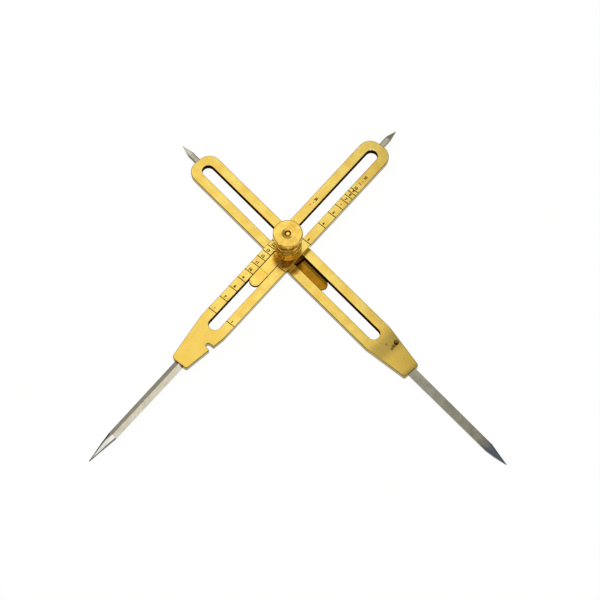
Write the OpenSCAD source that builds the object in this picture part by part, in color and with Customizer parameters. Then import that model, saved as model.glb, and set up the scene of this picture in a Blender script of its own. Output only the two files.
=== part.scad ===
// Proportional divider: two slotted brass legs, crossed and clamped on a pair of sliding blocks.
// Frame: pivot axis on +Z through the origin, underside of the pivot screw's head on Z = 0,
// long points towards -Y. Each leg is drawn along +X from its short tip (x = 0) to its long tip,
// with its inner face on z = 0, and is then turned about the pivot.

/* [Legs] */
// Length of a leg from tip to tip
leg_len = 230; // [200:1:260]
// Width of a leg
leg_w = 16.3; // [13:0.1:20]
// Thickness of a leg
leg_t = 3.2; // [2.8:0.1:5]
// Distance from the short tip to the rounded end of the brass
head_start = 11.3; // [9:0.1:13]
// Corner radius of the rounded end
head_r = 6.4; // [4:0.1:6.5]
// Length of the brass leg from its rounded end to its narrow end
brass_len = 153.2; // [150:0.1:158]
// Width of the narrow end
nose_w = 9.3; // [8:0.1:11]
// Corner radius of the narrow end
nose_r = 1.2; // [0.5:0.1:2]
// How much sooner the front leg's taper starts on the side of the circles
circles_taper_lead = 2.4; // [0:0.1:4]
// Corner radius of the front leg's narrow end on the side of the circles
circles_corner_r = 2.4; // [0.5:0.1:3]
// Angle between the two legs at their long points
open_angle = 82.3; // [60:0.1:110]

/* [Slots] */
// Width of the slot in each leg
slot_w = 6.1; // [5.5:0.1:7.5]
// Brass left between the rounded end and the slot
slot_margin = 4.7; // [4:0.1:6]
// Length of the tapered end, from the slot's end to the narrow end
nose_len = 23.6; // [21:0.1:26]

/* [Setting] */
// Distance from the front leg's short tip to the pivot
front_setting = 83.2; // [60:0.1:100]
// Distance from the back leg's short tip to the pivot
back_setting = 76.5; // [60:0.1:100]

/* [Scales] */
// Distance from the pivot to the index line on the front slide
index_offset = 18; // [14:0.1:20]
// Last division of the scale of lines
line_divisions = 10; // [5:1:12]
// First division of the scale of circles
circle_first = 6; // [6:1:8]
// Last division of the scale of circles
circle_last = 20; // [12:1:20]
// Width of an engraved line
mark_w = 0.4; // [0.2:0.05:0.5]
// Depth of an engraved line
mark_depth = 0.15; // [0.1:0.05:0.3]

/* [Steel points] */
// Width of a long point where it leaves the brass
long_point_w = 4.9; // [4:0.1:6]
// Width of a long point where its grinding starts
long_point_end_w = 4.5; // [3.8:0.1:5]
// Height of a long point's ridge over its flat side
long_point_h = 2.2; // [1.8:0.1:2.2]
// Height of a long point's straight edges
long_point_edge = 0.8; // [0.5:0.1:1.2]
// Length of the ground end of the front leg's long point
front_grind_len = 17; // [10:0.5:22]
// Length of the ground end of the back leg's long point
back_grind_len = 12; // [10:0.5:22]
// Width of a short point
short_point_w = 3.1; // [2.6:0.1:4]
// Thickness of a short point
short_point_h = 1.8; // [1.6:0.1:2.2]
// Width of the slope along a short point's four edges
short_point_bevel = 0.6; // [0.2:0.1:0.7]
// Length of the ground end of a short point
short_grind_len = 6; // [4:0.5:8]
// Width of the blunt end left on every tip
tip_w = 0.3; // [0.2:0.05:0.5]
// Thickness of the blunt end left on every tip
tip_h = 0.3; // [0.2:0.05:0.5]
// Distance from a leg's inner face to the flat side of its points
point_inset = 0.6; // [0.5:0.05:0.6]
// Length of the tang inside a leg, long points
long_tang_len = 16; // [12:0.5:20]
// Width of the tang, long points
long_tang_w = 3.6; // [3:0.1:4]
// Thickness of every tang
tang_h = 1.6; // [1.2:0.1:1.8]
// Length of the tang inside a leg, short points
short_tang_len = 3.6; // [3:0.1:3.8]
// Width of the tang, short points
short_tang_w = 2.6; // [2:0.1:2.6]
// Diameter of the pins that hold the tangs
pin_d = 1.6; // [1:0.1:1.6]
// Distance between the two pins of a long tang
pin_pitch = 8; // [6:0.5:9]
// Clearance round a tang and a pin
tang_fit = 0.03; // [0.02:0.01:0.05]

/* [Stud and notch] */
// Distance from the narrow end of the brass to the stud and the notch
stud_margin = 16; // [13:0.1:17]
// Distance from the leg's middle to the stud
stud_y = 4.9; // [4.5:0.1:5.2]
// Diameter of the stud
stud_d = 2; // [1.5:0.1:2.2]
// Height of the stud over the back leg
stud_rise = 1.3; // [1:0.1:3]
// Clearance of the notch round the stud
notch_fit = 0.2; // [0.05:0.01:0.3]
// How much wider the notch's mouth is, towards the narrow end
notch_flare = 0.7; // [0:0.1:1.5]

/* [Slides] */
// Length of a slide from the pivot towards the long point
slide_nose = 27.4; // [24:0.1:29]
// Length of the slide's thick part from the pivot towards the long point
slide_boss = 8.8; // [7:0.1:12]
// Thickness of a slide's long thin part
slide_plate_t = 1.2; // [0.8:0.1:2]
// Length of a slide from the pivot towards the short point
slide_tail = 4.4; // [4:0.1:6]
// Gap between a slide and its slot, each side
slide_fit = 0.1; // [0.03:0.01:0.15]
// Gap between flat faces that move on each other
face_gap = 0.1; // [0.05:0.01:0.15]

/* [Clamp] */
// Diameter of the pivot screw's head
screw_head_d = 13; // [11:0.1:15]
// Thickness of the pivot screw's head
screw_head_t = 1.6; // [1.2:0.1:2.5]
// Width across the pivot screw's square neck
neck_w = 4; // [3.8:0.1:4.2]
// Diameter of the pivot screw's stem
stem_d = 3.2; // [3:0.1:3.8]
// Gap round the stem in the slide, the washer and the knob
stem_fit = 0.05; // [0.03:0.01:0.1]
// Depth of the stem's end below the knob's top
stem_drop = 0.3; // [0.2:0.1:1.5]
// Width of the slope round the stem's end
stem_bevel = 0.8; // [0.3:0.1:1.2]
// Diameter of the clamp washer
washer_d = 13.8; // [12:0.1:15]
// Thickness of the clamp washer
washer_t = 3; // [2:0.1:3.5]
// Radius of the washer's rounded upper edge
washer_r = 0.9; // [0.3:0.1:1.2]
// Diameter of the knob's head
knob_d = 14.7; // [12:0.1:16]
// Height of the knob over the washer
knob_h = 10.8; // [9:0.1:13]
// Thickness of the knob's head
knob_head_t = 3.2; // [2.5:0.1:4]
// Radius of the head's rounded edges
knob_edge_r = 0.6; // [0.3:0.1:0.9]
// Diameter of the bead at the knob's foot
bead_d = 11.4; // [10:0.1:12]
// Height of the bead
bead_h = 1.2; // [0.8:0.1:1.6]
// Diameter of the knob's neck where it meets the bead and the head
neck_end_d = 10.6; // [10:0.1:11]
// Diameter of the knob's neck where it is narrowest
waist_d = 8.8; // [7:0.1:10]
// Diameter of the countersink in the knob's top
dish_d = 6; // [4.5:0.1:7]
// Depth of the countersink
dish_depth = 0.15; // [0.1:0.05:0.2]
// Number of grooves round the knob's rim
knurl_count = 72; // [36:4:96]
// Depth of a groove
knurl_depth = 0.18; // [0.1:0.01:0.25]

/* [Hidden] */
$fn = 96;
eps = 0.01;

brass = [0.87, 0.70, 0.32];
brass_dark = [0.74, 0.56, 0.22];
steel = [0.62, 0.61, 0.56];

// Where things lie along a leg
head_end = head_start + head_r;
nose_x = head_start + brass_len;
slot_start = head_start + slot_margin;
slot_end = nose_x - nose_len;
stud_x = nose_x - stud_margin;

// Heights of the stack over the table
back_leg_z = screw_head_t + face_gap;
back_inner_z = back_leg_z + leg_t;
front_inner_z = back_inner_z + face_gap;
front_top_z = front_inner_z + leg_t;
washer_z = front_top_z + face_gap;
knob_z = washer_z + washer_t;
knob_top_z = knob_z + knob_h;
stem_top_z = knob_top_z - stem_drop;

// Directions of the legs about the pivot, from the pivot to the long point
front_dir = 270 - open_angle / 2;
back_dir = 270 + open_angle / 2;

// Depth of the stud in the back leg, over the brass left below it
stud_floor = 0.8;
stud_root = leg_t - stud_floor;

// Slides
slide_w = slot_w - 2 * slide_fit;
slide_t = leg_t - 2 * face_gap;
slide_r = slide_w / 2;

// Engraved scales: distance of a mark from the short tip for a ratio of long to short side
function mark_x(ratio) = index_offset + leg_len / (ratio + 1);
// Ratio for a circle divided into n parts: radius over chord
function circle_ratio(n) = 1 / (2 * sin(180 / n));
rail_w = (leg_w - slot_w) / 2;

// Points of an arc about a centre
function arc(centre, r, from, to, steps) = [
  for (i = [0:steps])
    let (a = from + (to - from) * i / steps)
      centre + r * [cos(a), sin(a)]
];

// ---------------------------------------------------------------- placing

module on_front_leg() {
  translate([0, 0, front_inner_z])
    rotate([0, 0, front_dir])
      translate([-front_setting, 0, 0])
        children();
}

// The back leg is the same leg with its inner face turned up
module on_back_leg() {
  translate([0, 0, back_inner_z])
    rotate([0, 0, back_dir])
      translate([-back_setting, 0, 0])
        mirror([0, 0, 1])
          children();
}

// ---------------------------------------------------------------- legs

module block(x0, x1, w, z0, z1) {
  translate([x0, -w / 2, z0])
    cube([x1 - x0, w, z1 - z0]);
}

// Brass body without its slot: straight rails with a round-cornered head
module leg_rails(circles_start) {
  translate([head_end, 0, 0])
    cube([slot_end - head_end, leg_w / 2, leg_t]);
  translate([head_end, -leg_w / 2, 0])
    cube([circles_start - head_end, leg_w / 2 + eps, leg_t]);
  block(head_start, head_end + eps, leg_w - 2 * head_r, 0, leg_t);
  for (side = [-1, 1])
    translate([head_end, side * (leg_w / 2 - head_r), 0])
      cylinder(r = head_r, h = leg_t);
}

// Half of the tapered end that holds the long point, on the side of +y
module nose_half(taper_start, corner_r) {
  slope = atan2((leg_w - nose_w) / 2, nose_x - taper_start);
  corner = [nose_x - corner_r, nose_w / 2 - corner_r * (1 - sin(slope)) / cos(slope)];
  linear_extrude(leg_t)
    polygon(concat(
      [[taper_start, -eps], [taper_start, leg_w / 2]], arc(corner, corner_r, 90 - slope, 0, 6),
      [[nose_x, -eps]]
    ));
}

module leg_nose(circles_start, circles_r) {
  nose_half(slot_end - eps, nose_r);
  mirror([0, 1, 0])
    nose_half(circles_start - eps, circles_r);
}

module leg_slot() {
  r = slot_w / 2;
  for (x = [slot_start + r, slot_end - r])
    translate([x, 0, -1])
      cylinder(r = r, h = leg_t + 2);
  block(slot_start + r, slot_end - r, slot_w, -1, leg_t + 1);
}

// Sockets for the tangs, open at both ends of the brass
module tang_sockets() {
  low = point_inset - tang_fit;
  high = point_inset + tang_h + tang_fit;
  block(nose_x - long_tang_len - tang_fit, nose_x + 1, long_tang_w + 2 * tang_fit, low, high);
  block(head_start - 1, head_start + short_tang_len + tang_fit, short_tang_w + 2 * tang_fit, low, high);
}

// Pins lie across the tangs and end inside the brass, short of the opposite face
long_pin_x = [nose_x - long_tang_len / 2 - pin_pitch / 2, nose_x - long_tang_len / 2 + pin_pitch / 2];
short_pin_x = [head_start + short_tang_len / 2];
pin_end = 0.3;
pin_len = point_inset + tang_h + pin_end;

module pins(places, low, fit) {
  for (x = places)
    translate([x, 0, low])
      cylinder(d = pin_d + 2 * fit, h = pin_len);
}

module leg_body(pin_low, circles_start, circles_r) {
  difference() {
    union() {
      leg_rails(circles_start);
      leg_nose(circles_start, circles_r);
    }
    leg_slot();
    tang_sockets();
    pins(long_pin_x, pin_low, tang_fit);
    pins(short_pin_x, pin_low, tang_fit);
  }
}

// On the front leg the pins enter from the inner face, on the back leg from the outer face:
// both are the undersides of the finished instrument
front_pin_low = 0;
back_pin_low = leg_t - pin_len;

module scale_mark(x, side) {
  translate([x - mark_w / 2, side * (slot_w / 2 + rail_w / 2) - rail_w / 2 - eps, leg_t - mark_depth])
    cube([mark_w, rail_w + 2 * eps, mark_depth + 1]);
}

module scale_marks() {
  for (n = [1:line_divisions])
    scale_mark(mark_x(n), 1);
  for (n = [circle_first:circle_last])
    scale_mark(mark_x(circle_ratio(n)), -1);
}

module notch() {
  r = stud_d / 2 + notch_fit;
  mouth = leg_w / 2 - stud_y;
  translate([stud_x, stud_y, -1]) {
    cylinder(r = r, h = leg_t + 2);
    linear_extrude(leg_t + 2)
      polygon([[-r, 0], [r, 0], [r + notch_flare, mouth], [-r, mouth]]);
  }
}

module front_leg() {
  color(brass)
    on_front_leg()
      difference() {
        leg_body(front_pin_low, slot_end - circles_taper_lead, circles_corner_r);
        scale_marks();
        notch();
      }
}

module back_leg() {
  color(brass)
    on_back_leg()
      difference() {
        leg_body(back_pin_low, slot_end, nose_r);
        translate([stud_x, stud_y, -1])
          cylinder(d = stud_d + 2 * tang_fit, h = 1 + stud_root);
      }
}

// ---------------------------------------------------------------- steel points

// Long point: flat on the inner side, two slopes that meet in a ridge on the outer side,
// ground to a tip from both sides and from the ridge
module long_point(grind_len, pin_low) {
  grind_x = leg_len - grind_len;
  intersection() {
    translate([nose_x, 0, 0])
      rotate([90, 0, 90])
        linear_extrude(leg_len - nose_x)
          polygon([
            [-long_point_w / 2, 0], [long_point_w / 2, 0],
            [long_point_w / 2, long_point_edge], [0, long_point_h],
            [-long_point_w / 2, long_point_edge]
          ]);
    translate([0, 0, -1])
      linear_extrude(long_point_h + 2)
        polygon([
          [nose_x, -long_point_w / 2], [grind_x, -long_point_end_w / 2], [leg_len, -tip_w / 2],
          [leg_len, tip_w / 2], [grind_x, long_point_end_w / 2], [nose_x, long_point_w / 2]
        ]);
    translate([0, long_point_w, 0])
      rotate([90, 0, 0])
        linear_extrude(2 * long_point_w)
          polygon([
            [nose_x, 0], [leg_len, 0], [leg_len, tip_h],
            [grind_x, long_point_h], [nose_x, long_point_h]
          ]);
  }
  difference() {
    block(nose_x - long_tang_len, nose_x + eps, long_tang_w, 0, tang_h);
    translate([0, 0, -point_inset])
      pins(long_pin_x, pin_low, tang_fit);
  }
}

// Short point: a bar with sloping edges, ground to a tip from both sides and from the outer side
module short_point(pin_low) {
  side_w = short_point_w / 2;
  top_w = side_w - short_point_bevel;
  slope_h = short_point_bevel / 2;
  intersection() {
    rotate([90, 0, 90])
      linear_extrude(head_start)
        polygon([
          [-top_w, 0], [top_w, 0], [side_w, slope_h], [side_w, short_point_h - slope_h],
          [top_w, short_point_h], [-top_w, short_point_h], [-side_w, short_point_h - slope_h],
          [-side_w, slope_h]
        ]);
    linear_extrude(short_point_h)
      polygon([
        [0, -tip_w / 2], [short_grind_len, -short_point_w / 2], [head_start, -short_point_w / 2],
        [head_start, short_point_w / 2], [short_grind_len, short_point_w / 2], [0, tip_w / 2]
      ]);
    translate([0, short_point_w, 0])
      rotate([90, 0, 0])
        linear_extrude(2 * short_point_w)
          polygon([
            [0, 0], [head_start, 0], [head_start, short_point_h],
            [short_grind_len, short_point_h], [0, tip_h]
          ]);
  }
  difference() {
    block(head_start - eps, head_start + short_tang_len, short_tang_w, 0, tang_h);
    translate([0, 0, -point_inset])
      pins(short_pin_x, pin_low, tang_fit);
  }
}

module at_inset() {
  translate([0, 0, point_inset])
    children();
}

module front_long_point() {
  color(steel)
    on_front_leg() at_inset() long_point(front_grind_len, front_pin_low);
}

module back_long_point() {
  color(steel)
    on_back_leg() at_inset() long_point(back_grind_len, back_pin_low);
}

module front_short_point() {
  color(steel)
    on_front_leg() at_inset() short_point(front_pin_low);
}

module back_short_point() {
  color(steel)
    on_back_leg() at_inset() short_point(back_pin_low);
}

module front_long_pins() {
  color(brass_dark)
    on_front_leg() pins(long_pin_x, front_pin_low, 0);
}

module front_short_pin() {
  color(brass_dark)
    on_front_leg() pins(short_pin_x, front_pin_low, 0);
}

module back_long_pins() {
  color(brass_dark)
    on_back_leg() pins(long_pin_x, back_pin_low, 0);
}

module back_short_pin() {
  color(brass_dark)
    on_back_leg() pins(short_pin_x, back_pin_low, 0);
}

// ---------------------------------------------------------------- stud

module registration_stud() {
  dome = 0.3;
  color(steel)
    on_back_leg()
      translate([stud_x, stud_y, stud_root])
        mirror([0, 0, 1])
          rotate_extrude()
            polygon([
              [0, 0], [stud_d / 2, 0], [stud_d / 2, stud_root + stud_rise - dome],
              [stud_d / 2 - dome, stud_root + stud_rise], [0, stud_root + stud_rise]
            ]);
}

// ---------------------------------------------------------------- slides

// Block that runs in a leg's slot, drawn about the pivot with x towards the long point and the
// outer side up: full thickness round the pivot, and a long thin part level with the outer side
module slide_block() {
  translate([slide_r - slide_tail, 0, 0])
    cylinder(r = slide_r, h = slide_t);
  block(slide_r - slide_tail, slide_boss, slide_w, 0, slide_t);
  block(slide_boss - eps, slide_nose - slide_r, slide_w, slide_t - slide_plate_t, slide_t);
  translate([slide_nose - slide_r, 0, slide_t - slide_plate_t])
    cylinder(r = slide_r, h = slide_plate_t);
}

module front_slide() {
  color(brass)
    translate([0, 0, front_inner_z + face_gap])
      rotate([0, 0, front_dir])
        difference() {
          slide_block();
          translate([0, 0, -1])
            cylinder(d = stem_d + 2 * stem_fit, h = slide_t + 2);
          translate([index_offset - mark_w / 2, -slide_w, slide_t - mark_depth])
            cube([mark_w, 2 * slide_w, 1]);
        }
}

module square_neck(fit, low, high) {
  w = neck_w + 2 * fit;
  translate([-w / 2, -w / 2, low])
    cube([w, w, high - low]);
}

module back_slide() {
  color(brass_dark)
    translate([0, 0, back_leg_z + face_gap])
      rotate([0, 0, back_dir])
        difference() {
          translate([0, 0, slide_t])
            mirror([0, 0, 1])
              slide_block();
          square_neck(tang_fit, -1, slide_t + 1);
        }
}

// ---------------------------------------------------------------- clamp

// Screw with a flat head under the back leg, a square neck in the back slide and a round stem
module pivot_screw() {
  bevel = 0.3;
  color(brass_dark)
    rotate([0, 0, back_dir]) {
      rotate_extrude()
        polygon([
          [0, 0], [screw_head_d / 2 - bevel, 0], [screw_head_d / 2, bevel],
          [screw_head_d / 2, screw_head_t - bevel], [screw_head_d / 2 - bevel, screw_head_t],
          [0, screw_head_t]
        ]);
      square_neck(0, screw_head_t - eps, back_inner_z);
      translate([0, 0, screw_head_t])
        rotate_extrude()
          polygon([
            [0, 0], [stem_d / 2, 0], [stem_d / 2, stem_top_z - screw_head_t - stem_bevel],
            [stem_d / 2 - stem_bevel, stem_top_z - screw_head_t], [0, stem_top_z - screw_head_t]
          ]);
    }
}

stem_hole_r = stem_d / 2 + stem_fit;

module clamp_washer() {
  edge = arc([washer_d / 2 - washer_r, washer_t - washer_r], washer_r, 0, 90, 6);
  color(brass)
    translate([0, 0, washer_z])
      rotate_extrude()
        polygon(concat([[stem_hole_r, 0], [washer_d / 2, 0]], edge, [[stem_hole_r, washer_t]]));
}

// Half section of the knob, from the foot up: bead, hollow neck, head, countersunk top
module knob_profile() {
  r = knob_d / 2;
  head_low = knob_h - knob_head_t;
  bead_r = bead_h / 2;
  neck_half = (head_low - bead_h) / 2;
  bead = arc([bead_d / 2 - bead_r, bead_r], bead_r, -90, 90, 8);
  neck = [
    for (i = [0:10])
      let (a = -90 + 180 * i / 10)
        [(neck_end_d - (neck_end_d - waist_d) * cos(a)) / 2, bead_h + neck_half * (1 + sin(a))]
  ];
  lower_edge = arc([r - knob_edge_r, head_low + knob_edge_r], knob_edge_r, -90, 0, 5);
  upper_edge = arc([r - knob_edge_r, knob_h - knob_edge_r], knob_edge_r, 0, 90, 5);
  polygon(concat(
    [[stem_hole_r, 0]], bead, neck, lower_edge, upper_edge,
    [[dish_d / 2, knob_h], [stem_hole_r, knob_h - dish_depth]]
  ));
}

// Upright V grooves round the rim, which end a little short of its rounded edges
module knurl() {
  plain_rim = 0.15;
  groove_low = knob_h - knob_head_t + knob_edge_r + plain_rim;
  groove_high = knob_h - knob_edge_r - plain_rim;
  for (i = [0:knurl_count - 1])
    rotate([0, 0, 360 * i / knurl_count])
      translate([knob_d / 2, 0, groove_low])
        rotate([0, 0, 45])
          translate([-knurl_depth * sqrt(2) / 2, -knurl_depth * sqrt(2) / 2, 0])
            cube([knurl_depth * sqrt(2), knurl_depth * sqrt(2), groove_high - groove_low]);
}

module clamp_knob() {
  color(brass)
    translate([0, 0, knob_z])
      difference() {
        rotate_extrude()
          knob_profile();
        knurl();
      }
}

front_leg();
front_long_point();
front_short_point();
front_long_pins();
front_short_pin();
back_leg();
back_long_point();
back_short_point();
back_long_pins();
back_short_pin();
registration_stud();
front_slide();
back_slide();
pivot_screw();
clamp_washer();
clamp_knob();
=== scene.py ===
"""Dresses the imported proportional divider: eased edges, metal finishes, scale figures and its stage."""

import math

import bmesh
import bpy
from mathutils import Matrix, Vector


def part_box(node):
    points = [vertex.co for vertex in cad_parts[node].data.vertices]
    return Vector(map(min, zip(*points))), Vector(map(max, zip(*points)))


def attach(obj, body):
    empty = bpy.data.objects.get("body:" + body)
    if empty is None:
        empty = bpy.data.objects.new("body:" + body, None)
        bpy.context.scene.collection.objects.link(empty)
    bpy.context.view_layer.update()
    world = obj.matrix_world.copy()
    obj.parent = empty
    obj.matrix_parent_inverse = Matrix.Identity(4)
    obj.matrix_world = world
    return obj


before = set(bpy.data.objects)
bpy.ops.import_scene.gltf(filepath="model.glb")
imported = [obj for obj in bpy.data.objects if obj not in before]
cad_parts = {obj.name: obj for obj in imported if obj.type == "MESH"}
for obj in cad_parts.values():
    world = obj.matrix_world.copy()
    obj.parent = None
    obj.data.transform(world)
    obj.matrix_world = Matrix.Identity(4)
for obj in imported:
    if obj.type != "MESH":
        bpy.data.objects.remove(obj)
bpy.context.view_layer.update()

MM = 0.001

# Sizes and places that the part's source gives, in mm and degrees. Places on a leg run from its short tip
LEG_LEN = 230
LEG_W = 16.3
BRASS_END = 164.5
SLOT_W = 6.1
SLOT_START, SLOT_END = 16.0, 140.9
OPEN_ANGLE = 82.3
FRONT_DIR, BACK_DIR = 270 - OPEN_ANGLE / 2, 270 + OPEN_ANGLE / 2
FRONT_SETTING, BACK_SETTING = 83.2, 76.5
FRONT_TOP = 8.2
INDEX_OFFSET = 18
MARK_DEPTH = 0.15
FRONT_GRIND_LEN, BACK_GRIND_LEN, SHORT_GRIND_LEN = 17, 12, 6
STUD_X, STUD_Y = 148.5, 4.9
BEAD_TOP, HEAD_LOW, KNOB_TOP = 12.5, 18.9, 22.1
STEM_R, STEM_FLAT_R = 1.6, 0.8
RAIL_MID = (LEG_W + SLOT_W) / 4
POINT_HALF_W = 2.4

# A leg is its direction and its setting. The pivot stands in for a leg where a piece isn't on one
FRONT_LEG = (FRONT_DIR, FRONT_SETTING)
BACK_LEG = (BACK_DIR, BACK_SETTING)
PIVOT = (0, 0)


# ---------------------------------------------------------------- nodes and layers


def linear(code):
    """Linear colour for an sRGB hex code."""
    parts = [int(code[i : i + 2], 16) / 255 for i in (1, 3, 5)]
    return (*[c / 12.92 if c <= 0.04045 else ((c + 0.055) / 1.055) ** 2.4 for c in parts], 1)


def add(tree, kind, inputs=None, **settings):
    """Adds a node with its settings. An input takes a number, an sRGB code or another node's output."""
    node = tree.nodes.new(kind)
    for key, value in settings.items():
        setattr(node, key, value)
    for key, value in (inputs or {}).items():
        if isinstance(value, bpy.types.NodeSocket):
            tree.links.new(value, node.inputs[key])
        else:
            node.inputs[key].default_value = linear(value) if isinstance(value, str) else value
    return node


MIX = {"data_type": "RGBA"}
FIRST, SECOND, MIXED = 6, 7, 2  # colour sockets of a colour mix


def new_material(name):
    """Empty material and its node tree."""
    material = bpy.data.materials.new(name)
    material.use_nodes = True
    material.node_tree.nodes.clear()
    return material, material.node_tree


def along_leg(tree, leg, grain=(1, 1, 1)):
    """Place in mm, with X along the leg from its short tip and Y across it, over the size in mm of a
    pattern's grain in each direction."""
    direction, setting = leg
    place = add(tree, "ShaderNodeTexCoord").outputs["Object"]
    turn = {"Rotation": (0, 0, -math.radians(direction)), "Location": (setting, 0, 0)}
    in_mm = {"Vector": place, "Scale": (1 / MM, 1 / MM, 1 / MM), **turn}
    turned = add(tree, "ShaderNodeMapping", in_mm).outputs[0]
    stretch = {"Vector": turned, "Scale": [1 / size for size in grain]}
    return add(tree, "ShaderNodeMapping", stretch).outputs[0]


def within(tree, value, low, high, soft):
    """1 where value lies between low and high, 0 outside, with a soft step at both ends."""
    steps = []
    for outside, inside in ((low - soft, low + soft), (high + soft, high - soft)):
        step = {"Value": value, "From Min": outside, "From Max": inside}
        steps.append(add(tree, "ShaderNodeMapRange", step, interpolation_type="SMOOTHSTEP").outputs[0])
    return add(tree, "ShaderNodeMath", {0: steps[0], 1: steps[1]}, operation="MULTIPLY").outputs[0]


def spot(tree, place, centre, radius, soft):
    """1 inside a round spot seen from above, 0 outside. No distance is below 0, so only the rim is soft."""
    flat = add(tree, "ShaderNodeVectorMath", {0: place, 1: (1, 1, 0)}, operation="MULTIPLY").outputs[0]
    apart = add(tree, "ShaderNodeVectorMath", {0: flat, 1: (*centre, 0)}, operation="DISTANCE")
    return within(tree, apart.outputs["Value"], -1, radius, soft)


def patchy(tree, place, patch, light, deep, spread=0.14, detail=3.0):
    """Two tones in soft patches of about the given size in mm. A small spread makes their edges firm."""
    cloud = {"Vector": place, "Scale": 1 / patch, "Detail": detail}
    patches = add(tree, "ShaderNodeTexNoise", cloud).outputs[0]
    step = {"Value": patches, "From Min": 0.5 - spread, "From Max": 0.5 + spread}
    share = add(tree, "ShaderNodeMapRange", step).outputs[0]
    return add(tree, "ShaderNodeMix", {0: share, FIRST: light, SECOND: deep}, **MIX).outputs[MIXED]


def tinted(tree, colour, layers):
    """Lays tints over a colour, each over the last. A layer is where it lies, from 0 to 1, its strength
    and its colour."""
    for where, strength, tint in layers:
        share = add(tree, "ShaderNodeMath", {0: where, 1: strength}, operation="MULTIPLY").outputs[0]
        colour = add(tree, "ShaderNodeMix", {0: share, FIRST: colour, SECOND: tint}, **MIX).outputs[MIXED]
    return colour


DARK_SHADE_AND_WAX = "#2b1b08"  # painted shade on the slots' walls and round the stem's end, and wax in the engraved lines


def finish_metal(tree, colour, marks, polish, strength, depth, shade_and_wax_share=None):
    """Ends a material with a metal shader. Its tool marks are up to depth mm deep, and the roughness on
    them runs between the two values of polish. Where the last argument is 1, a dull dark layer hides the
    metal: painted shade on the slot walls and round the stem's end, and dark wax in the engraved lines."""
    smooth, rough = polish
    buffed = {"Value": marks, "From Min": 0.3, "From Max": 0.7, "To Min": smooth, "To Max": rough}
    roughness = add(tree, "ShaderNodeMapRange", buffed).outputs[0]
    relief = {"Height": marks, "Strength": strength, "Distance": depth * MM}
    bump = add(tree, "ShaderNodeBump", relief).outputs[0]
    metal = {"Metallic": 1.0, "Base Color": colour, "Roughness": roughness, "Normal": bump}
    surface = add(tree, "ShaderNodeBsdfPrincipled", metal).outputs[0]
    if shade_and_wax_share is not None:
        dull = add(tree, "ShaderNodeBsdfDiffuse", {"Color": DARK_SHADE_AND_WAX}).outputs[0]
        surface = add(tree, "ShaderNodeMixShader", {"Fac": shade_and_wax_share, 1: surface, 2: dull}).outputs[0]
    add(tree, "ShaderNodeOutputMaterial", {"Surface": surface})


# ---------------------------------------------------------------- finishes

# Painted highlights on the chamfer by the front slot's short end: how far each lies from the slot's short end
# and the leg's middle, and its radius
SLOT_END_GLINTS = ((0.6, -2.6, 0.5), (-0.4, -1.2, 0.45))
# Brown round the stud, partly stain and partly the stud's painted contact shadow and reflection: how far each
# spot lies from the stud along and across the leg, and its radius
STUD_SHADOW_AND_STAINS = ((0.7, -2.4, 0.9), (1.2, -3.9, 0.65), (-2.3, -4.3, 0.4), (0.7, -0.8, 0.8))
# How far from the pivot the sides of a leg get a painted reflection of the other leg, towards the short and
# the long point
CROSSING_REFLECTION_SHORT, CROSSING_REFLECTION_LONG = 7.5, 8.5
# How far a zone of steel runs out past a leg's tip
PAST_TIP = 5
# Where the work on a long tip starts, how soft its border is, and the tones of its face and of the painted
# shade that stands for the ground facets along its edges and end
SHARPENED = {"start": LEG_LEN - FRONT_GRIND_LEN, "soft": 0.3, "face": "#efeee6", "rim": "#5e5d54"}
BLUED = {"start": LEG_LEN - BACK_GRIND_LEN - 2, "soft": 5.5, "face": "#76808f", "rim": "#6b7381"}


def nicked_slot(tree, place):
    """Layer of each painted highlight on the chamfer by the front slot's short end."""
    return [
        (spot(tree, place, (SLOT_START + ahead, aside), radius, soft=0.2), 1, "#fff2cf")
        for ahead, aside, radius in SLOT_END_GLINTS
    ]


def stained_nose(tree, place):
    """Layers on the back leg: a dull olive bloom past the slot, a handled end, and brown round the stud,
    which is partly stain and partly the stud's painted shadow and reflection.
    """
    u = add(tree, "ShaderNodeSeparateXYZ", {0: place}).outputs["X"]
    bloom = within(tree, u, SLOT_END + 1.6, STUD_X + 2.5, soft=3)
    handled = within(tree, u, BRASS_END - 1.3, LEG_LEN, soft=1.8)
    stud_shadow_and_stains = [
        (spot(tree, place, (STUD_X + ahead, STUD_Y + aside), radius, soft=0.45), 0.85, "#6a4510")
        for ahead, aside, radius in STUD_SHADOW_AND_STAINS
    ]
    return [(bloom, 0.7, "#ab9550"), (handled, 0.6, "#8c7a40"), *stud_shadow_and_stains]


def unwiped_side(tree, place):
    """Layer of painted shadow of the slot's wall, olive, along the back slide's side that lies under it."""
    v = add(tree, "ShaderNodeSeparateXYZ", {0: place}).outputs["Y"]
    under_wall = within(tree, v, 1.1, SLOT_W, soft=0.5)
    return [(under_wall, 0.75, "#54431a")]


def slot_grime(tree, place, flat):
    """1 where painted shade darkens the sawn walls of the slot, 0 elsewhere. flat is 1 on level faces and 0
    on upright ones.
    """
    u, v, _ = add(tree, "ShaderNodeSeparateXYZ", {0: place}).outputs
    past_side, past_end = 0.2, 0.3
    in_width = within(tree, v, -SLOT_W / 2 - past_side, SLOT_W / 2 + past_side, soft=0.05)
    in_length = within(tree, u, SLOT_START - past_end, SLOT_END + past_end, soft=0.05)
    in_slot = add(tree, "ShaderNodeMath", {0: in_width, 1: in_length}, operation="MULTIPLY").outputs[0]
    steep = add(tree, "ShaderNodeMapRange", {"Value": flat, "From Min": 0.9, "From Max": 0.7}).outputs[0]
    return add(tree, "ShaderNodeMath", {0: in_slot, 1: steep}, operation="MULTIPLY").outputs[0]


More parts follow.
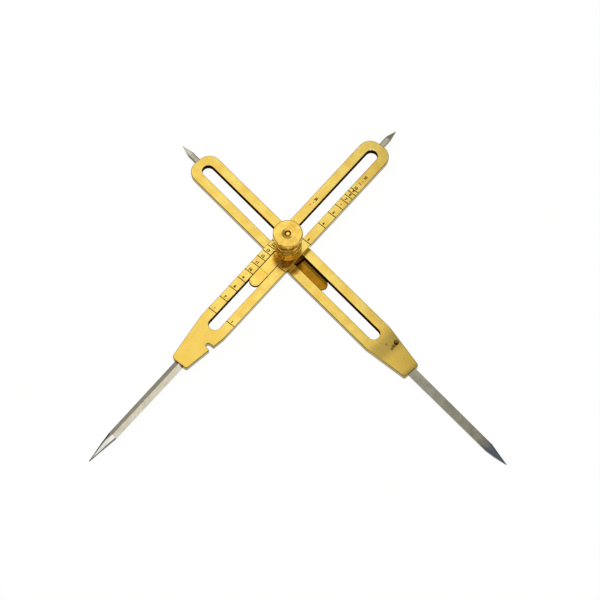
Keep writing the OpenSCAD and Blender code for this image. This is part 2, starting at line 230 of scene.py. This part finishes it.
def groove_wax(tree, place, up):
    """1 on the floors of the engraved lines, 0 elsewhere. up is 1 on faces that look straight up."""
    z = add(tree, "ShaderNodeSeparateXYZ", {0: place}).outputs["Z"]
    floor_z, slack = FRONT_TOP - MARK_DEPTH, 0.08
    deep_enough = within(tree, z, floor_z - slack, floor_z + slack, soft=0.03)
    level = add(tree, "ShaderNodeMapRange", {"Value": up, "From Min": 0.6, "From Max": 0.9}).outputs[0]
    return add(tree, "ShaderNodeMath", {0: deep_enough, 1: level}, operation="MULTIPLY").outputs[0]


def drawn_brass(name, leg, light="#f6db76", deep="#edc860", speckled=1, marked=None, engraved=False):
    """Flat brass, drawn, smoothed with a file and buffed along the leg. It gives the eye a clear but soft
    reflection, lemon and orange patches of thin tarnish and faint lengthwise scratches, with painted shade in
    the eased edges, on the upright sides and on the slot's walls, and a painted reflection on the sides where
    the legs cross. marked gives the layers that only one piece has."""
    material, tree = new_material(name)
    place = along_leg(tree, leg)
    u = add(tree, "ShaderNodeSeparateXYZ", {0: place}).outputs["X"]
    normal = add(tree, "ShaderNodeNewGeometry").outputs["True Normal"]
    up = add(tree, "ShaderNodeSeparateXYZ", {0: normal}).outputs["Z"]
    flat = add(tree, "ShaderNodeMath", {0: up}, operation="ABSOLUTE").outputs[0]

    # Patches of tarnish 5 to 8 mm wide, and specks of 1 to 2 mm
    patch, speck = 6.25, 5 / 3
    colour = patchy(tree, place, patch, light, deep, spread=0.12)
    cloud = {"Vector": place, "Scale": 1 / speck, "Detail": 2.0}
    specks = add(tree, "ShaderNodeTexNoise", cloud).outputs[0]
    orange = add(tree, "ShaderNodeMapRange", {"Value": specks, "From Min": 0.5, "From Max": 0.7}).outputs[0]
    lemon = add(tree, "ShaderNodeMapRange", {"Value": specks, "From Min": 0.48, "From Max": 0.3}).outputs[0]

    # Deeper tarnish from the slot's end on
    nose = within(tree, u, SLOT_END - 2.9, LEG_LEN, soft=4)

    # Painted shade: brown in the eased edges and a dull darker tone on the upright sides, with a painted
    # reflection that lightens the sides near the pivot, where the legs cross
    edge = add(tree, "ShaderNodeMapRange", {"Value": flat, "From Min": 0.98, "From Max": 0.93}).outputs[0]
    side = add(tree, "ShaderNodeMapRange", {"Value": flat, "From Min": 0.35, "From Max": 0.15}).outputs[0]
    _, setting = leg
    crossing_reflection = within(tree, u, setting - CROSSING_REFLECTION_SHORT, setting + CROSSING_REFLECTION_LONG, soft=0.8)
    side_shade_and_reflection = add(tree, "ShaderNodeMix", {0: crossing_reflection, FIRST: "#958b58", SECOND: "#ecd27c"}, **MIX).outputs[MIXED]

    layers = [
        (orange, 0.5 * speckled, "#f0b65e"),
        (lemon, 0.6 * speckled, "#e2cb52"),
        (nose, 0.7, "#e8c35a"),
        (edge, 1, "#75602a"),
        (side, 1, side_shade_and_reflection),
    ]
    if marked:
        layers += marked(tree, place)
    colour = tinted(tree, colour, layers)

    # Painted shade on the slot's walls, joined with the wax of the engraved lines
    shade_and_wax_share = slot_grime(tree, place, flat)
    if engraved:
        filled = groove_wax(tree, place, up)
        shade_and_wax_share = add(tree, "ShaderNodeMath", {0: shade_and_wax_share, 1: filled}, operation="MAXIMUM").outputs[0]

    # Scratches 20 mm long and 0.2 mm apart, wider apart than the buff's own so that they show
    strokes = along_leg(tree, leg, grain=(20, 0.2, 0.2))
    scratches = add(tree, "ShaderNodeTexNoise", {"Vector": strokes, "Scale": 1.0, "Detail": 3.0}).outputs[0]
    finish_metal(tree, colour, scratches, polish=(0.13, 0.22), strength=0.25, depth=0.006, shade_and_wax_share=shade_and_wax_share)
    return material


def turned_brass(name, light, deep, shaded):
    """Brass turned in a lathe and polished, with fine rings round the axis. It gives the eye sharp
    reflections, with painted shade in the hollow neck, at its foot and in the gap round the stem's end."""
    material, tree = new_material(name)
    place = along_leg(tree, PIVOT)
    x, y, z = add(tree, "ShaderNodeSeparateXYZ", {0: place}).outputs
    flat = add(tree, "ShaderNodeCombineXYZ", {0: x, 1: y}).outputs[0]
    radius = add(tree, "ShaderNodeVectorMath", {0: flat}, operation="LENGTH").outputs["Value"]

    # Painted shade: olive in the hollow neck and brown at its foot, over patches of tarnish about 3 mm wide
    patch, foot_top = 20 / 7, BEAD_TOP + 2
    colour = patchy(tree, place, patch, light, deep, detail=2.0)
    neck = within(tree, z, foot_top, HEAD_LOW + 0.3, soft=0.4)
    foot = within(tree, z, BEAD_TOP, foot_top, soft=0.4)
    colour = tinted(tree, colour, [(neck, 0.5, "#7d6a2c"), (foot, 0.85, shaded)])

    # Thin painted shade on top, in the gap on the slope round the stem's end
    on_slope = within(tree, radius, STEM_FLAT_R + 0.3, STEM_R + 0.05, soft=0.2)
    on_top = within(tree, z, HEAD_LOW, KNOB_TOP + 1, soft=0.1)
    thin = add(tree, "ShaderNodeMath", {0: on_slope, 1: 0.35}, operation="MULTIPLY").outputs[0]
    shade_and_wax_share = add(tree, "ShaderNodeMath", {0: thin, 1: on_top}, operation="MULTIPLY").outputs[0]

    # Tool rings, six to the millimetre, which is fewer than a lathe leaves, so that they show
    ring = 1 / 6
    across = add(tree, "ShaderNodeCombineXYZ", {0: radius, 2: z}).outputs[0]
    rings = add(tree, "ShaderNodeTexNoise", {"Vector": across, "Scale": 1 / ring, "Detail": 2.0}).outputs[0]
    finish_metal(tree, colour, rings, polish=(0.1, 0.18), strength=0.2, depth=0.003, shade_and_wax_share=shade_and_wax_share)
    return material


def ground_steel(name, leg, light, dark, short_end, tip):
    """Hardened steel, ground across its length. It gives the eye a warm grey with fine cross scratches.
    Its long tip is bright where it was sharpened last, or blued where it got hot, as tip says."""
    material, tree = new_material(name)
    place = along_leg(tree, leg)
    u, v, _ = add(tree, "ShaderNodeSeparateXYZ", {0: place}).outputs
    # Patches of tone 4 mm wide
    colour = patchy(tree, place, 4, light, dark)
    worked = within(tree, u, tip["start"], LEG_LEN + PAST_TIP, tip["soft"])

    # Painted shade on the edges and end of the long tip, standing for its narrow ground facets, by the share
    # of its half width, which falls nearly to nothing
    ends = {"From Min": tip["start"], "From Max": LEG_LEN}
    half = {"Value": u, **ends, "To Min": POINT_HALF_W, "To Max": 0.05}
    half_width = add(tree, "ShaderNodeMapRange", half).outputs[0]
    reach = add(tree, "ShaderNodeMath", {0: v, 1: half_width}, operation="DIVIDE").outputs[0]
    middle = within(tree, reach, -0.45, 0.72, soft=0.15)
    edges = add(tree, "ShaderNodeMath", {0: 1.0, 1: middle}, operation="SUBTRACT").outputs[0]
    edges = add(tree, "ShaderNodeMath", {0: edges, 1: worked}, operation="MULTIPLY").outputs[0]
    end = within(tree, u, LEG_LEN - 3.5, LEG_LEN + PAST_TIP, soft=3)
    rim = add(tree, "ShaderNodeMath", {0: edges, 1: end}, operation="MAXIMUM").outputs[0]

    # The short tip has a tone of its own where it was ground
    short = within(tree, u, -PAST_TIP, SHORT_GRIND_LEN, soft=0.2)
    layers = [(worked, 1, tip["face"]), (rim, 1, tip["rim"]), (short, 0.7, short_end)]
    colour = tinted(tree, colour, layers)

    # Grinding marks a third of a millimetre apart, coarser than the wheel's grit so that they show
    strokes = along_leg(tree, leg, grain=(1 / 3, 10 / 3, 10 / 3))
    grinding = add(tree, "ShaderNodeTexNoise", {"Vector": strokes, "Scale": 1.0, "Detail": 3.0}).outputs[0]
    finish_metal(tree, colour, grinding, polish=(0.16, 0.27), strength=0.3, depth=0.006)
    return material


def stained_steel(name):
    """Turned steel gone brown with handling: the stud gives the eye a small dark spot."""
    material, tree = new_material(name)
    place = along_leg(tree, PIVOT)
    # Specks of rust two thirds of a millimetre wide
    rust_spot = 2 / 3
    cloud = {"Vector": place, "Scale": 1 / rust_spot, "Detail": 3.0}
    rust = add(tree, "ShaderNodeTexNoise", cloud).outputs[0]
    colour = add(tree, "ShaderNodeMix", {0: rust, FIRST: "#7c5620", SECOND: "#9c7632"}, **MIX).outputs[MIXED]
    dull = {"Value": rust, "To Min": 0.25, "To Max": 0.4}
    roughness = add(tree, "ShaderNodeMapRange", dull).outputs[0]
    metal = {"Metallic": 1.0, "Base Color": colour, "Roughness": roughness}
    surface = add(tree, "ShaderNodeBsdfPrincipled", metal).outputs[0]
    add(tree, "ShaderNodeOutputMaterial", {"Surface": surface})
    return material


def engraving_wax(name):
    """Dark wax rubbed into stamped figures: nearly black brown, dull."""
    material, tree = new_material(name)
    place = along_leg(tree, PIVOT)
    # Crumbs half a millimetre wide, coarser than real ones so that they show
    crumb = 0.5
    crumbs = add(tree, "ShaderNodeTexNoise", {"Vector": place, "Scale": 1 / crumb}).outputs[0]
    tones = {0: crumbs, FIRST: "#2a1c0a", SECOND: "#4c3414"}
    colour = add(tree, "ShaderNodeMix", tones, **MIX).outputs[MIXED]
    shader = add(tree, "ShaderNodeBsdfPrincipled", {"Base Color": colour, "Roughness": 0.55})
    add(tree, "ShaderNodeOutputMaterial", {"Surface": shader.outputs[0]})
    return material


front_brass = drawn_brass("drawn_brass_front_leg", FRONT_LEG, marked=nicked_slot, engraved=True)
back_brass = drawn_brass("drawn_brass_back_leg", BACK_LEG, marked=stained_nose)
front_slide_brass = drawn_brass("filed_brass_front_slide", FRONT_LEG, "#fddc72", "#f5ca5c")
# The back slide's brass is painted much darker than the front slide's: painted shade of its recess under the
# front leg
shaded_back_slide_brass = drawn_brass(
    "filed_brass_back_slide", BACK_LEG, "#a87414", "#96660c", speckled=0.15, marked=unwiped_side
)
knob_brass = turned_brass("turned_brass_knob", "#f6d46c", "#e2b550", "#6e4508")
# The washer's tones are painted darker than the knob's: painted shade under the knob's head
shaded_washer_brass = turned_brass("turned_brass_washer", "#e6bc4e", "#d8aa3e", "#7a540e")
front_steel = ground_steel("front_points_steel", FRONT_LEG, "#d3cebd", "#c5c0ac", "#a8a48c", SHARPENED)
back_steel = ground_steel("back_points_steel", BACK_LEG, "#bdb9a9", "#ada998", "#d6d2bc", BLUED)
stud_finish = stained_steel("stained_steel_stud")
wax = engraving_wax("engraving_wax")

FINISH = {
    "front_leg": front_brass,
    "front_long_pins": front_brass,
    "front_short_pin": front_brass,
    "back_leg": back_brass,
    "back_long_pins": back_brass,
    "back_short_pin": back_brass,
    "front_slide": front_slide_brass,
    "back_slide": shaded_back_slide_brass,
    "pivot_screw": knob_brass,
    "clamp_washer": shaded_washer_brass,
    "clamp_knob": knob_brass,
    "front_long_point": front_steel,
    "front_short_point": front_steel,
    "back_long_point": back_steel,
    "back_short_point": back_steel,
    "registration_stud": stud_finish,
}
for node, finish in FINISH.items():
    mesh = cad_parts[node].data
    mesh.materials.clear()
    mesh.materials.append(finish)


# ---------------------------------------------------------------- eased edges

# Width of an eased edge in mm
EASE = 0.25
# Points closer than SAME_POINT are welded, and heights or places closer than SAME_PLACE are equal, in mm
SAME_POINT, SAME_PLACE = 0.001, 0.01
# Steps to the millimetre of the grid that matches points of two meshes
KEYS_PER_MM = 500
# Faces that meet at less than FLAT_ANGLE are made one, and from CORNER_ANGLE on they form a corner
FLAT_ANGLE, CORNER_ANGLE = 0.5, 40
# Where the engraved lines begin and end on the front leg
ENGRAVED_FROM, ENGRAVED_TO = 36, 134


def leg_place(point, leg):
    """A point of the frame in a leg's own coordinates, in mm."""
    direction, setting = leg
    turned = Matrix.Rotation(-math.radians(direction), 3, "Z") @ Vector(point)
    return turned / MM + Vector((setting, 0, 0))


def place_key(point):
    """A point's place in whole steps of the matching grid."""
    return tuple(round(c / MM * KEYS_PER_MM) for c in point)


def ease_edges(node, leg):
    """Rounds the rims of a flat CAD node's two faces a little, and evens its shading. The ends of the
    engraved lines are left alone."""
    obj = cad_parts[node]
    mesh = obj.data
    faces_z = [corner[2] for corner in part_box(node)]
    shape = bmesh.new()
    shape.from_mesh(mesh)
    bmesh.ops.remove_doubles(shape, verts=shape.verts, dist=SAME_POINT * MM)
    rims, corners = set(), set()
    for edge in shape.edges:
        if edge.calc_face_angle(0) < math.radians(CORNER_ANGLE):
            continue
        ends = [v.co for v in edge.verts]
        key = frozenset(place_key(end) for end in ends)
        level = any(all(abs(end.z - z) < SAME_PLACE * MM for end in ends) for z in faces_z)
        first, second = (leg_place(end, leg) for end in ends)
        crosswise = abs(first.x - second.x) < SAME_PLACE
        in_groove = crosswise and ENGRAVED_FROM < first.x < ENGRAVED_TO
        (rims if level and not in_groove else corners).add(key)
    shape.free()
    weights = mesh.attributes.new("bevel_weight_edge", "FLOAT", "EDGE")
    for edge in mesh.edges:
        key = frozenset(place_key(mesh.vertices[i].co) for i in edge.vertices)
        weights.data[edge.index].value = 1.0 if key in rims else 0.0
        edge.use_edge_sharp = key in corners
    for polygon in mesh.polygons:
        polygon.use_smooth = True
    weld = obj.modifiers.new("weld", "WELD")
    weld.merge_threshold = SAME_POINT * MM
    merge = obj.modifiers.new("whole_faces", "DECIMATE")
    merge.decimate_type = "DISSOLVE"
    merge.angle_limit = math.radians(FLAT_ANGLE)
    bevel = obj.modifiers.new("eased_edges", "BEVEL")
    bevel.width = EASE * MM
    bevel.segments = 2
    bevel.limit_method = "WEIGHT"
    bevel.use_clamp_overlap = False
    even = obj.modifiers.new("even_shading", "WEIGHTED_NORMAL")
    even.keep_sharp = True


for node, leg in (
    ("front_leg", FRONT_LEG),
    ("back_leg", BACK_LEG),
    ("front_slide", FRONT_LEG),
    ("back_slide", BACK_LEG),
):
    ease_edges(node, leg)


# ---------------------------------------------------------------- scale figures

# Divisions of the two scales, as the part's source gives them
LINE_DIVISIONS = 10
CIRCLE_FIRST, CIRCLE_LAST = 6, 20
# Height of a figure, how wide a number may be, and the gap between a number and its line, in mm
FIGURE_H, NUMBER_WIDEST, LINE_GAP = 1.55, 2.3, 0.6
# How much the strokes of the font are thickened, in the font's own units
FIGURE_BOLD = 0.06
# Ways that a text's right hand points, in degrees from the long tip's direction
READ_ACROSS, READ_ALONG = 90, 180
# Underside and top of an inlay over the leg's face, in mm
INLAY_LOW, INLAY_HIGH = -0.045, 0.015
# Points of two figures closer than this are one, in mm
FIGURE_WELD = 1e-5
# Middle of each scale's sign along the leg, and how wide it may be, in mm
LINES_SIGN_X, LINES_SIGN_WIDEST = 32, 7.4
CIRCLES_SIGN_X, CIRCLES_SIGN_WIDEST = 56.5, 9.5


def mark_x(ratio):
    """Place of a scale line for a ratio, from the short tip."""
    return INDEX_OFFSET + LEG_LEN / (ratio + 1)


def circle_ratio(parts):
    """Radius over chord for a circle divided into equal parts."""
    return 1 / (2 * math.sin(math.pi / parts))


def figure(text, u, v, turn, widest):
    """Flat stamped figure or sign, centred u along the leg and v across it, in mm."""
    curve = bpy.data.curves.new("figure", "FONT")
    curve.body = text
    curve.offset = FIGURE_BOLD
    source = bpy.data.objects.new("figure", curve)
    bpy.context.collection.objects.link(source)
    bpy.context.view_layer.update()
    graph = bpy.context.evaluated_depsgraph_get()
    mesh = bpy.data.meshes.new_from_object(source.evaluated_get(graph))
    bpy.data.objects.remove(source)
    bpy.data.curves.remove(curve)
    low = Vector([min(p.co[i] for p in mesh.vertices) for i in range(3)])
    high = Vector([max(p.co[i] for p in mesh.vertices) for i in range(3)])
    size = high - low
    scale = FIGURE_H / size.y
    narrow = min(1, widest / (size.x * scale))
    mesh.transform(Matrix.Translation(-(low + high) / 2))
    mesh.transform(Matrix.Diagonal((scale * narrow, scale, scale, 1)))
    mesh.transform(Matrix.Rotation(math.radians(turn), 4, "Z"))
    mesh.transform(Matrix.Translation((u, v, 0)))
    return mesh


def inlay(name, figures):
    """Joins flat figures into one thin inlay that rides on the front leg."""
    shape = bmesh.new()
    for flat in figures:
        shape.from_mesh(flat)
        bpy.data.meshes.remove(flat)
    bmesh.ops.remove_doubles(shape, verts=shape.verts, dist=FIGURE_WELD)
    made = bmesh.ops.extrude_face_region(shape, geom=list(shape.faces))
    rise = [g for g in made["geom"] if isinstance(g, bmesh.types.BMVert)]
    bmesh.ops.translate(shape, verts=rise, vec=(0, 0, INLAY_HIGH - INLAY_LOW))
    bmesh.ops.recalc_face_normals(shape, faces=shape.faces)
    mesh = bpy.data.meshes.new(name)
    shape.to_mesh(mesh)
    shape.free()
    mesh.transform(Matrix.Translation((-FRONT_SETTING, 0, FRONT_TOP + INLAY_LOW)))
    mesh.transform(Matrix.Rotation(math.radians(FRONT_DIR), 4, "Z"))
    mesh.transform(Matrix.Scale(MM, 4))
    mesh.materials.append(wax)
    obj = bpy.data.objects.new(name, mesh)
    bpy.context.collection.objects.link(obj)
    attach(obj, "front_leg")


def scale_figures(ratios, v):
    """Numbers of a scale, v across the leg and each just short of its line."""
    before_line = LINE_GAP + FIGURE_H / 2
    return [
        figure(str(number), mark_x(ratio) - before_line, v, READ_ACROSS, NUMBER_WIDEST)
        for number, ratio in ratios.items()
    ]


line_ratios = {n: n for n in range(1, LINE_DIVISIONS + 1)}
circle_ratios = {n: circle_ratio(n) for n in range(CIRCLE_FIRST, CIRCLE_LAST + 1)}
inlay("lines_figures", scale_figures(line_ratios, RAIL_MID))
inlay("circles_figures", scale_figures(circle_ratios, -RAIL_MID))
lines_sign = figure("1  -  10", LINES_SIGN_X, RAIL_MID, READ_ALONG, LINES_SIGN_WIDEST)
circles_sign = figure("6  -  20", CIRCLES_SIGN_X, -RAIL_MID, READ_ALONG, CIRCLES_SIGN_WIDEST)
inlay("lines_sign", [lines_sign])
inlay("circles_sign", [circles_sign])


# ---------------------------------------------------------------- floor, lamps, camera

# Width of the paper in mm, and the share of it that is seen as plain white, which leaves a soft shadow
PAPER_W, PLAIN_SHARE = 6000, 0.96

# Where the photograph was taken from, by the fit that gave the part its sizes, in mm and degrees
CAMERA_PLACE, CAMERA_TARGET = (-31.5, -826.1, 1697.6), (5.34, -27.6, 4.9)
CAMERA_ROLL = 1.34
LENS, SENSOR_W = 232.46, 36
CAMERA_NEAR, CAMERA_FAR = 50, 50000


def white_floor():
    """Sheet of white paper. What the camera, metal or glass sees of it is mostly plain white,
    and the rest keeps the soft shadow."""
    bpy.ops.mesh.primitive_plane_add(size=PAPER_W * MM, location=(0, 0, 0))
    floor = bpy.context.object
    floor.name = "floor"
    material, tree = new_material("white_paper")
    ray = add(tree, "ShaderNodeLightPath").outputs
    seen = ray["Is Camera Ray"]
    for other in ("Is Glossy Ray", "Is Transmission Ray"):
        seen = add(tree, "ShaderNodeMath", {0: seen, 1: ray[other]}, operation="MAXIMUM").outputs[0]
    share = add(tree, "ShaderNodeMath", {0: seen, 1: PLAIN_SHARE}, operation="MULTIPLY").outputs[0]
    paper = add(tree, "ShaderNodeBsdfDiffuse", {"Color": "#f8f8f7"}).outputs[0]
    plain = add(tree, "ShaderNodeEmission", {"Color": "#ffffff", "Strength": 1.0}).outputs[0]
    shown = add(tree, "ShaderNodeMixShader", {"Fac": share, 1: paper, 2: plain}).outputs[0]
    add(tree, "ShaderNodeOutputMaterial", {"Surface": shown})
    floor.data.materials.append(material)


def room_light():
    """Dim room that grows pale overhead and towards the back wall, so that metal shows its form."""
    world = bpy.data.worlds.new("room")
    bpy.context.scene.world = world
    world.use_nodes = True
    tree = world.node_tree
    tree.nodes.clear()
    way = add(tree, "ShaderNodeTexCoord").outputs["Generated"]
    _, y, z = add(tree, "ShaderNodeSeparateXYZ", {0: way}).outputs
    high = add(tree, "ShaderNodeMapRange", {"Value": z, "From Min": 0.1, "From Max": 0.95}).outputs[0]
    colour = add(tree, "ShaderNodeMix", {0: high, FIRST: "#858279", SECOND: "#a9a7a2"}, **MIX).outputs[MIXED]
    far = add(tree, "ShaderNodeMapRange", {"Value": y, "From Min": 0.1, "From Max": 0.9}).outputs[0]
    colour = add(tree, "ShaderNodeMix", {0: far, FIRST: colour, SECOND: "#b0aea9"}, **MIX).outputs[MIXED]
    near = {"Value": y, "From Min": 0.1, "From Max": -0.4, "To Min": 1.0, "To Max": 0.9}
    strength = add(tree, "ShaderNodeMapRange", near).outputs[0]
    light = add(tree, "ShaderNodeBackground", {"Color": colour, "Strength": strength}).outputs[0]
    add(tree, "ShaderNodeOutputWorld", {"Surface": light})


def softbox(name, place, size, radiance, target=(0, 0, 0), in_metal=True):
    """Flat lamp, placed and sized in mm. Its face is as bright as a white sheet times radiance. A lamp that
    metal doesn't mirror only lifts the floor and the wax to their plain level."""
    lamp = bpy.data.lights.new(name, "AREA")
    lamp.shape = "RECTANGLE"
    width, height = size
    lamp.size, lamp.size_y = width * MM, height * MM
    lamp.energy = radiance * math.pi * lamp.size * lamp.size_y
    obj = bpy.data.objects.new(name, lamp)
    bpy.context.collection.objects.link(obj)
    obj.location = Vector(place) * MM
    obj.rotation_mode = "QUATERNION"
    obj.rotation_quaternion = (Vector(target) - Vector(place)).to_track_quat("-Z", "Y")
    obj.visible_camera = False
    obj.visible_glossy = in_metal


def photo_camera():
    """Camera that sees the part as the photograph shows it."""
    place, target = Vector(CAMERA_PLACE) * MM, Vector(CAMERA_TARGET) * MM
    camera = bpy.data.cameras.new("photo_camera")
    camera.sensor_width = SENSOR_W
    camera.lens = LENS
    camera.clip_start, camera.clip_end = CAMERA_NEAR * MM, CAMERA_FAR * MM
    obj = bpy.data.objects.new("photo_camera", camera)
    bpy.context.collection.objects.link(obj)
    look = (target - place).to_track_quat("-Z", "Y").to_matrix().to_4x4()
    roll = Matrix.Rotation(math.radians(CAMERA_ROLL), 4, "Z")
    obj.matrix_world = Matrix.Translation(place) @ look @ roll
    bpy.context.scene.camera = obj


white_floor()
room_light()
softbox("overhead_sheet", place=(-111, 215, 600), size=(378, 390), radiance=0.74, target=(-111, 215, 0))
softbox("front_sheet", place=(0, -330, 600), size=(420, 300), radiance=0.5)
softbox("left_lamp", place=(-520, -420, 330), size=(160, 160), radiance=2.2)
softbox("right_lamp", place=(430, -520, 330), size=(120, 120), radiance=2.2)
softbox("side_panel", place=(415, -205, 490), size=(320, 320), radiance=0.8)
softbox("ceiling_bounce", place=(0, 0, 1500), size=(1600, 1600), radiance=2.2, in_metal=False)
photo_camera()

bpy.context.scene.view_settings.view_transform = "Standard"
